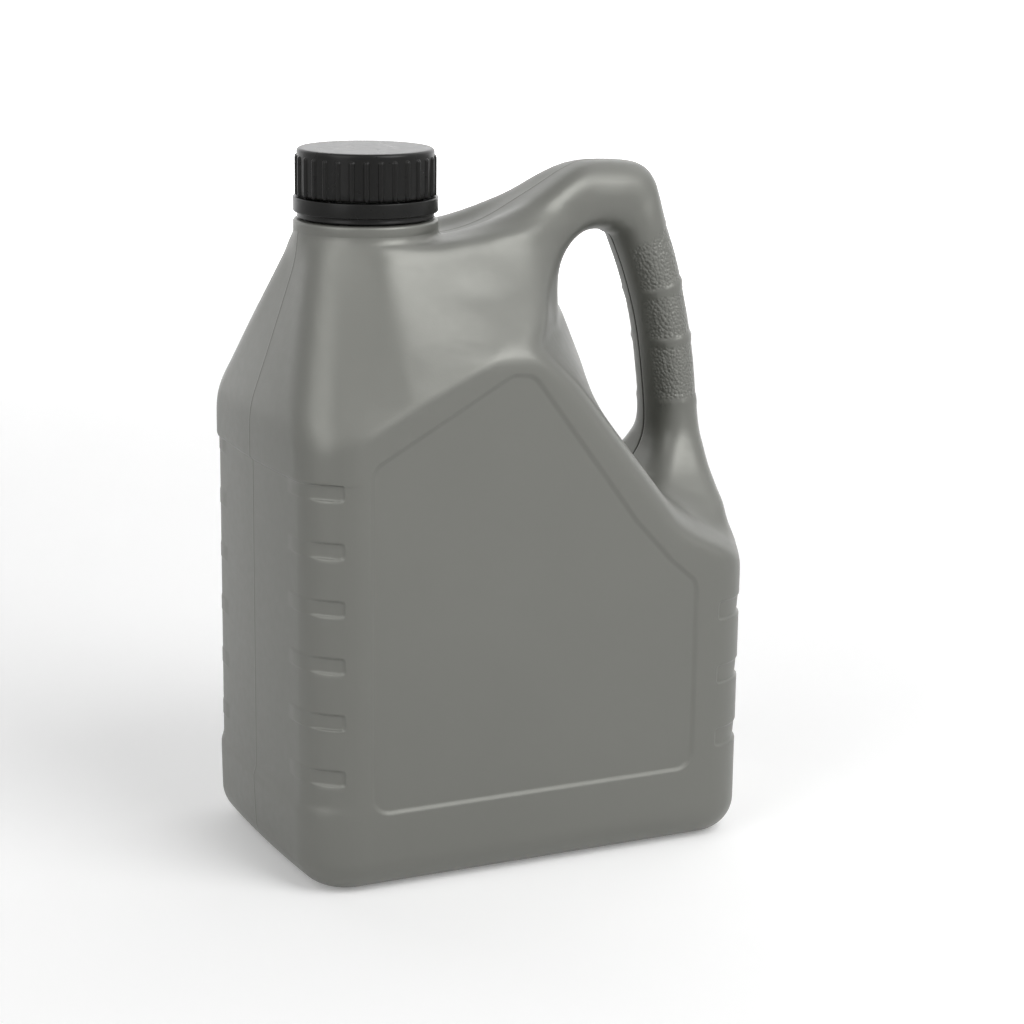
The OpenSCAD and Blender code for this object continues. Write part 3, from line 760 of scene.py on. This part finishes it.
# Neck, bead, thread, cap, band and liner: heights from the collar upward.
MOUTH_R, NECK_TURNS = NECK_R - 2.5, 144
BEAD_Z, BEAD_RISE = COLLAR_Z + 4.6, 1.4
BAND_R, BAND_LOW, BAND_TOP = 30.0, COLLAR_Z + 3.0, COLLAR_Z + 9.2
CAP_R, CAP_LOW, CAP_TOP, CAP_WALL = 28.4, BAND_TOP + 0.5, NECK_Z + 3.6, 2.2
CAP_INNER = NECK_R + 2.2
LINER_R, LINER_LOW, LINER_TOP = CAP_INNER - 0.6, NECK_Z + 0.1, NECK_Z + 1.4
RIBS, RIB_RADIUS, RIB_SINK, RIB_TURN, RIB_BALL = 30, 1.3, 0.4, 8.25, 3.9
PITCH, THREAD_RISE = 6.0, 1.2
STUBS, STUB_TURN = 12, 6


def joined(parts):
    """One mesh from several."""
    points, faces, base = [], [], 0
    for p, f in parts:
        p = np.asarray(p, float)
        points.append(p)
        faces.extend(tuple(int(i) + base for i in q) for q in f)
        base += len(p)
    return np.concatenate(points), faces


def polar_ring(angles, radius, z):
    """Ring of points round the neck axis."""
    return np.stack([NECK_X + radius * np.cos(angles), radius * np.sin(angles), np.full(len(angles), z)], 1)


def lathe(profile, turns=180):
    """Turned surface on the neck axis from (radius, height) pairs that run anticlockwise round the solid."""
    angles = np.arange(turns) * 2 * math.pi / turns
    points = np.concatenate([polar_ring(angles, r, z) for r, z in profile])
    return points, ring_quads(len(profile), turns)


def ring_quads(rows, turns):
    """Faces between rows of points that run round a ring."""
    faces = []
    for j in range(rows - 1):
        for i in range(turns):
            k = (i + 1) % turns
            faces.append((j * turns + i, j * turns + k, (j + 1) * turns + k, (j + 1) * turns + i))
    return faces


def arc(center, radius, start, end, steps):
    """Points of an arc in a profile, by its angles in degrees."""
    t = np.radians(np.linspace(start, end, steps + 1))
    return [(center[0] + radius * math.cos(a), center[1] + radius * math.sin(a)) for a in t]


def thread(radius, rise, low, turns, outward=True):
    """Screw ridge with faded ends, as a closed strip that sits a little in its wall."""
    steps = int(turns * 96)
    side = 1.0 if outward else -1.0
    shape = [(-0.3, -1.25), (0.0, -1.15), (0.75, -0.62), (1.0, -0.35), (1.0, 0.35), (0.75, 0.62), (0.0, 1.15),
             (-0.3, 1.25)]
    points = []
    for i in range(steps + 1):
        a = 2 * math.pi * turns * i / steps
        fade = float(smooth(0, 0.06, i / steps) * (1 - smooth(0.94, 1, i / steps)))
        for h, w in shape:
            r = radius + side * (h * rise * fade if h > 0 else h)
            points.append((NECK_X + r * math.cos(a), r * math.sin(a), low + PITCH * turns * i / steps + w))
    n = len(shape)
    faces = []
    for i in range(steps):
        for j in range(n):
            k = (j + 1) % n
            quad = (i * n + j, i * n + k, (i + 1) * n + k, (i + 1) * n + j)
            faces.append(quad[::-1] if outward else quad)
    first, last = tuple(range(n)), tuple(steps * n + j for j in range(n))
    faces += [first if outward else first[::-1], last[::-1] if outward else last]
    return points, faces


def neck_parts():
    """Collar top, neck with its bead, rim and bore, and the thread."""
    collar = [(COLLAR_R - 0.3, NECK_FOOT + 1.2), (COLLAR_R + 0.02, NECK_FOOT + 1.7)]
    collar += arc((COLLAR_R + 0.02 - 1.3, COLLAR_Z + 0.02 - 1.3), 1.3, 0, 90, 8)
    stem = [(NECK_R + 0.6, COLLAR_Z + 0.02)] + arc((NECK_R + 0.6, COLLAR_Z + 0.62), 0.6, -90, -180, 4)[1:]
    stem += [(NECK_R, BEAD_Z - 0.2), (NECK_R + BEAD_RISE - 0.2, BEAD_Z), (NECK_R + BEAD_RISE, BEAD_Z + 0.25)]
    stem += [(NECK_R + BEAD_RISE - 0.15, BEAD_Z + 0.7), (NECK_R + 0.15, BEAD_Z + 2.8), (NECK_R, BEAD_Z + 3.2)]
    rim = arc((NECK_R - 0.8, NECK_Z - 0.8), 0.8, 0, 90, 5)
    rim += arc((MOUTH_R + 0.6, NECK_Z - 0.6), 0.6, 90, 180, 4)
    inside = COLLAR_R - WALL - 0.8
    bore = [(MOUTH_R, COLLAR_Z + 2.0), (MOUTH_R + 0.6, COLLAR_Z + 0.6), (inside - 0.4, COLLAR_Z - WALL),
            (inside, COLLAR_Z - WALL - 1.2), (inside, WEB - 6)]
    return [lathe(collar + stem + rim + bore, NECK_TURNS), thread(NECK_R, THREAD_RISE, CAP_LOW + 1.6, 1.75)]


def rib_rise(side, height):
    """Rise of a half round rib over the cap wall, with a ball end at its top."""
    end = np.maximum(height - (CAP_TOP - RIB_BALL), 0.0)
    inside = RIB_RADIUS ** 2 - side ** 2 - (end * 1.15) ** 2
    return np.maximum(np.sqrt(np.maximum(inside, 0.0)) - RIB_SINK, 0.0)


def cap_parts():
    """Cap with half round ribs down its wall, and the thread inside."""
    step = 360.0 / RIBS
    half = np.array([0.0, 0.75, 1.35, 1.8, 2.1, 2.3, 2.5, 2.62, 3.0, 4.4])
    offsets = np.concatenate([-half[:0:-1], half, [6.0]])
    angles = np.radians((np.arange(RIBS)[:, None] * step + RIB_TURN + offsets[None]).ravel())
    side = np.tile(np.radians(offsets) * CAP_R, RIBS)
    rows = [(CAP_R - 0.25, CAP_LOW, 0.6), (CAP_R, CAP_LOW + 0.25, 1.0)]
    rows += [(CAP_R, z, 1.0) for z in np.linspace(CAP_LOW + 3, CAP_TOP - 4.2, 5)]
    rows += [(CAP_R, CAP_TOP - RIB_BALL + d, 1.0) for d in (0, 0.3, 0.55, 0.75, 0.9, 1.0, 1.08, 1.2, 1.6)]
    rows += [(r, z, 0.0) for r, z in arc((CAP_R - 1.5, CAP_TOP - 1.5), 1.5, 0, 90, 8)]
    rows += [(r, CAP_TOP, 0.0) for r in (24.0, 20.0, 14.0, 8.0, 3.0, 0.01)]
    roof = CAP_TOP - CAP_WALL
    inner_rows = [(0.01, roof), (14, roof), (CAP_INNER - 0.5, roof), (CAP_INNER, roof - 0.5),
                  (CAP_INNER, CAP_LOW + 0.6), (CAP_INNER + 0.6, CAP_LOW)]
    rings = [polar_ring(angles, r, z) for r, z in inner_rows]
    rings += [polar_ring(angles, r + share * rib_rise(side, z), z) for r, z, share in rows]
    shell = np.concatenate(rings), ring_quads(len(rings), len(side))
    return [shell, thread(CAP_INNER, THREAD_RISE, CAP_LOW + 1.6 + PITCH / 2, 1.6, outward=False)]


def band_parts():
    """Tamper band with its lip and the stubs of its bridges."""
    inner, over = NECK_R + 0.4, NECK_R + BEAD_RISE + 0.4
    profile = [(over, BAND_TOP), (over, BEAD_Z - 0.4), (inner, BEAD_Z - 0.9), (inner, COLLAR_Z + 0.7)]
    profile += arc((BAND_R - 1.9, COLLAR_Z + 1.05), 0.35, -90, 0, 4)
    profile += [(BAND_R - 1.55, COLLAR_Z + 1.35), (BAND_R - 1.85, COLLAR_Z + 1.85)]
    profile += [(BAND_R - 1.85, BAND_LOW - 0.35), (BAND_R - 1.7, BAND_LOW - 0.1)]
    profile += arc((BAND_R - 0.7, BAND_LOW + 0.7), 0.7, -90, 0, 6)
    profile += arc((BAND_R - 0.45, BAND_TOP - 0.45), 0.45, 0, 90, 5) + [(over, BAND_TOP)]
    return [lathe(profile)] + [stub(math.radians(i * 360 / STUBS + STUB_TURN)) for i in range(STUBS)]


def stub(turn):
    """Torn bridge on top of the band."""
    low, high = BAND_TOP - 0.3, BAND_TOP + 0.25
    corners = [(CAP_R - 1.2, -0.5), (CAP_R - 0.2, -0.5), (CAP_R - 0.2, 0.5), (CAP_R - 1.2, 0.5)]
    points = []
    for z, shrink in ((low, 1.0), (high, 0.75)):
        for r, w in corners:
            w *= shrink
            x, y = r * math.cos(turn) - w * math.sin(turn), r * math.sin(turn) + w * math.cos(turn)
            points.append((NECK_X + x, y, z))
    faces = [(3, 2, 1, 0), (4, 5, 6, 7)] + [(i, (i + 1) % 4, 4 + (i + 1) % 4, 4 + i) for i in range(4)]
    return points, faces


def liner_parts():
    """Sealing wad with broken edges."""
    b = 0.25
    profile = [(0.01, LINER_LOW), (LINER_R - b, LINER_LOW), (LINER_R, LINER_LOW + b),
               (LINER_R, LINER_TOP - b), (LINER_R - b, LINER_TOP), (0.01, LINER_TOP)]
    return [lathe(profile)]


INNER_GRID = 5.0
# Width in millimetres of the painted shade along the mould line's cut.
SEAM_SHADE_WIDE = 0.34


def inner_skin():
    """Plain inside of the jug: the outer form set in by the wall."""
    spans = ((-110, 112), (-70, 71), (-4, 300))
    xs, ys, zs = (np.arange(start, end, INNER_GRID) for start, end in spans)
    points, faces = surface(xs, ys, zs, grid_levels(xs, ys, zs, False) + WALL)
    top = np.hypot(points[:, 0] - NECK_X, points[:, 1]) < COLLAR_R
    top &= points[:, 2] > WEB - 4
    return points, faces[~top[faces].any(1)][:, ::-1]


def mark(obj, name, values):
    """Point values on the skin, zero on what follows it in the mesh."""
    layer = obj.data.attributes.new(name, "FLOAT", "POINT")
    full = np.zeros(len(obj.data.vertices), np.float32)
    full[:len(values)] = values
    layer.data.foreach_set("value", full)


def jug_piece():
    """Outer skin with its panels, plain inside and neck, and the marks of grip and of the painted shade along
    the mould line.
    """
    points, faces = outer_skin()
    points, rest, near = with_panel(points, faces, -1)
    points, rest, far = with_panel(points, np.array(rest), 1)
    jug = make_mesh("jug_skin", *joined([(points, rest + near + far), inner_skin()] + neck_parts()), PEWTER)
    place = handle_place(points[:, 0], points[:, 2])
    s, u = place[:, 0], place[:, 1]
    on_handle = handle_field(place, points[:, 1]) < 1.5
    # Painted shade mask: the mould line's cut on the inner side of the handle.
    seam_shade_side = smooth(SEAM_FROM, SEAM_FROM + 0.4, s) * (u < 0)
    seam_shade_side *= 1 - smooth(SEAM_TO - 0.6, SEAM_TO, s)
    mark(jug, "grip", on_handle * grip_share(s, u))
    mark(jug, "seam_shade", seam_shade_side * np.exp(-(points[:, 1] / SEAM_SHADE_WIDE) ** 2))
    return jug


jug = jug_piece()
cap = make_mesh("cap_shell", *joined(cap_parts()), BLACK)
band = make_mesh("band_ring", *joined(band_parts()), BLACK)
liner = make_mesh("liner_disc", *joined(liner_parts()), FOAM)
PIECES = (
    (jug, "jug", "jug_body", "jug_plastic"),
    (band, "jug", "tamper_band", "cap_plastic"),
    (cap, "cap", "cap", "cap_plastic"),
    (liner, "liner", "cap_liner", "liner_foam"),
)
for piece, body, node, slot in PIECES:
    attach(piece, body)
    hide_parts(node)

# Floor, backdrop, light and camera.
FLOOR_GLOW, BACKDROP_GLOW = 0.2, 1.0


def stage_plane(name, corners, glow):
    """A pale plane with a faint glow of its own."""
    mesh = bpy.data.meshes.new(name)
    mesh.from_pydata(corners, [], [(0, 1, 2, 3)])
    mesh.materials.append(plastic(name, (0.88, 0.88, 0.88), 0.9, 0.0, 0.01, spread=0.01))
    shader = mesh.materials[0].node_tree.nodes["Principled BSDF"]
    shader.inputs["Emission Color"].default_value = (1, 1, 1, 1)
    shader.inputs["Emission Strength"].default_value = glow
    obj = bpy.data.objects.new(name, mesh)
    bpy.context.scene.collection.objects.link(obj)


stage_plane("floor", [(-1.9, -1.9, 0), (2.6, -1.9, 0), (2.6, 2.2, 0), (-1.9, 2.2, 0)], FLOOR_GLOW)
stage_plane("backdrop", [(-1.4, 2.2, 0), (2.6, 0.3, 0), (2.6, 0.3, 1.6), (-1.4, 2.2, 1.6)], BACKDROP_GLOW)

# Softboxes: place in metres, width, and power in watts; all face the jug.
LIGHTS = {
    "top": ((0.9, 0.1, 1.3), 1.0, 2.0),
    "top_left": ((-1.1, -0.4, 1.2), 1.0, 6.0),
    "left": ((-1.5, -0.75, 0.55), 0.8, 3.2),
    "top_front": ((0.5, -1.0, 1.3), 1.0, 14.6),
    "front": ((0.7, -1.65, 0.9), 1.0, 5.5),
    "right": ((1.5, -0.8, 0.6), 1.0, 1.0),
}
AIM = Vector((0, 0, 0.15))
for name, (place, wide, power) in LIGHTS.items():
    data = bpy.data.lights.new(name, "AREA")
    data.energy, data.size = power, wide
    lamp = bpy.data.objects.new(name, data)
    bpy.context.scene.collection.objects.link(lamp)
    lamp.location = place
    lamp.rotation_mode = "QUATERNION"
    lamp.rotation_quaternion = (AIM - Vector(place)).to_track_quat("-Z", "Y")

# The camera and reflections see a white room, which by itself gives the jug little light.
AMBIENT = 0.05
world = bpy.data.worlds.new("world")
bpy.context.scene.world = world
world.use_nodes = True
world.node_tree.nodes["Background"].inputs["Color"].default_value = (1, 1, 1, 1)
rays = world.node_tree.nodes.new("ShaderNodeLightPath")
shown = rays.outputs["Is Camera Ray"]
for kind in ("Is Glossy Ray", "Is Transmission Ray"):
    either = world.node_tree.nodes.new("ShaderNodeMath")
    either.operation = "MAXIMUM"
    world.node_tree.links.new(shown, either.inputs[0])
    world.node_tree.links.new(rays.outputs[kind], either.inputs[1])
    shown = either.outputs["Value"]
level = ranged(world.node_tree, either, "Value", AMBIENT, 1.0)
link(world.node_tree, level, "Result", world.node_tree.nodes["Background"], "Strength")

# The photo's camera: turn, pitch and roll in degrees, the rest in pixels and millimetres.
CAM_FOCAL_PX, CAM_TURN, CAM_PITCH, CAM_ROLL = 2652.37, -25.694, 13.962, 0.732
CAM_AIM_PX, CAM_DEPTH, IMAGE_PX = (478.317, 490.993), 1146.874, 1024
CAM_AIM_Z, SENSOR = 150, 36


def place_camera():
    a, t, r = (math.radians(v) for v in (CAM_TURN, CAM_PITCH, CAM_ROLL))
    back = Vector((math.sin(a) * math.cos(t), -math.cos(a) * math.cos(t), math.sin(t)))
    right = Vector((math.cos(a), math.sin(a), 0))
    up = back.cross(right)
    right2 = right * math.cos(r) + up * math.sin(r)
    up2 = up * math.cos(r) - right * math.sin(r)
    mid = IMAGE_PX / 2
    px = (CAM_AIM_PX[0] - mid) / CAM_FOCAL_PX * CAM_DEPTH
    py = -(CAM_AIM_PX[1] - mid) / CAM_FOCAL_PX * CAM_DEPTH
    spot = Vector((0, 0, CAM_AIM_Z)) - right2 * px - up2 * py + back * CAM_DEPTH
    data = bpy.data.cameras.new("camera")
    data.sensor_width = SENSOR
    data.lens = CAM_FOCAL_PX * SENSOR / IMAGE_PX
    data.clip_start, data.clip_end = 0.01, 50
    cam = bpy.data.objects.new("camera", data)
    bpy.context.scene.collection.objects.link(cam)
    turn = Matrix((right2, up2, back)).transposed().to_4x4()
    cam.matrix_world = Matrix.Translation(spot * 0.001) @ turn
    bpy.context.scene.camera = cam


place_camera()
bpy.context.scene.view_settings.view_transform = "Standard"
